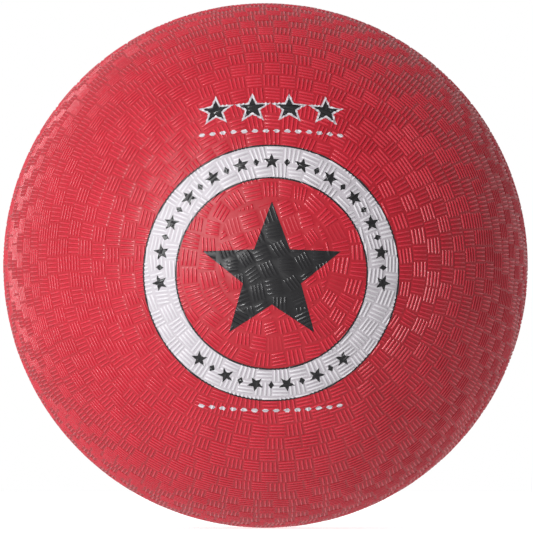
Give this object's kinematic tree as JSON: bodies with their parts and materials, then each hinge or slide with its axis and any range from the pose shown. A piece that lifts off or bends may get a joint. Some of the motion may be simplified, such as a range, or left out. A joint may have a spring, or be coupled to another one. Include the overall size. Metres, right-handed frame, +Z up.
{
  "type": "playground ball",
  "caption": "Hollow air-filled playground ball with a ribbed red rubber cover, a nylon winding, a rubber bladder, a needle valve at the back and a printed badge at the front.",
  "frame": {"origin": "centre of the ball", "axes": "+Z up with the badge upright, -Y towards the front mould pole above the badge's centre, +Y out along the valve"},
  "size_m": [0.254, 0.254, 0.254],
  "materials": {
    "cover_rubber": "satin",
    "nylon_thread": "matte",
    "bladder_rubber": "matte",
    "valve_rubber": "satin",
    "core_rubber": "matte",
    "white_ink": "satin",
    "black_ink": "satin"
  },
  "bodies": {
    "root": {"cover": "cover_rubber", "nylon_winding": "nylon_thread", "bladder": "bladder_rubber", "valve_patch": "bladder_rubber", "valve_housing": "valve_rubber", "valve_core": "core_rubber", "ring_print": "white_ink", "ring_border_print": "black_ink", "ring_mark_print": "black_ink", "emblem_print": "black_ink", "banner_edge_print": "white_ink", "banner_star_print": "black_ink", "upper_dash_print": "white_ink", "lower_dash_print": "white_ink"}
  },
  "joints": []
}
